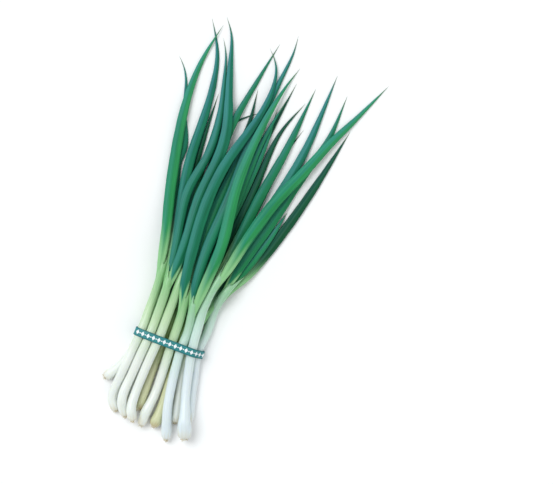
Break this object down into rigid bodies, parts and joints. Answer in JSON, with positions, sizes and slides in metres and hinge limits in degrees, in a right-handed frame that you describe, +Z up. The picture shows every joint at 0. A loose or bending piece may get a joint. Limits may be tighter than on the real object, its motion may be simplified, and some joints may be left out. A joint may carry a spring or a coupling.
{
  "type": "spring onion bunch",
  "caption": "Bunch of fresh spring onions with white shanks and long green leaves, lying flat and held together by a printed rubber band.",
  "frame": {"origin": "middle of the rubber band's flat underside, on the surface that the bunch lies on", "axes": "+Y from the root ends to the leaf tips, +Z up, +X across the bunch along the band"},
  "size_m": [0.188, 0.3847, 0.0296],
  "materials": {
    "shank_white": "satin, moist skin that turns pale green towards the leaves",
    "leaf_blue_green": "waxy satin",
    "leaf_mid_green": "waxy satin",
    "leaf_bright_green": "waxy satin",
    "leaf_dark_green": "waxy satin",
    "band_rubber": "matte rubber with a plain white printed pattern"
  },
  "bodies": {
    "root": {"shank_01": "shank_white", "leaf_01a": "leaf_blue_green", "leaf_01b": "leaf_dark_green", "shank_02": "shank_white", "leaf_02a": "leaf_mid_green", "leaf_02b": "leaf_dark_green", "shank_03": "shank_white", "leaf_03a": "leaf_dark_green", "leaf_03b": "leaf_dark_green", "shank_04": "shank_white", "leaf_04a": "leaf_mid_green", "leaf_04b": "leaf_dark_green", "shank_05": "shank_white", "leaf_05a": "leaf_dark_green", "leaf_05b": "leaf_dark_green", "shank_06": "shank_white", "leaf_06a": "leaf_mid_green", "leaf_06b": "leaf_mid_green", "leaf_06c": "leaf_dark_green", "shank_07": "shank_white", "leaf_07a": "leaf_bright_green", "leaf_07b": "leaf_dark_green", "shank_08": "shank_white", "leaf_08a": "leaf_blue_green", "leaf_08b": "leaf_blue_green", "leaf_08c": "leaf_blue_green", "shank_09": "shank_white", "leaf_09a": "leaf_mid_green", "leaf_09b": "leaf_dark_green", "shank_10": "shank_white", "leaf_10a": "leaf_blue_green", "leaf_10b": "leaf_mid_green", "shank_11": "shank_white", "leaf_11a": "leaf_blue_green", "leaf_11b": "leaf_mid_green", "leaf_11c": "leaf_bright_green", "shank_12": "shank_white", "leaf_12a": "leaf_mid_green", "leaf_12b": "leaf_blue_green", "leaf_12c": "leaf_bright_green", "rubber_band": "band_rubber"}
  },
  "joints": []
}
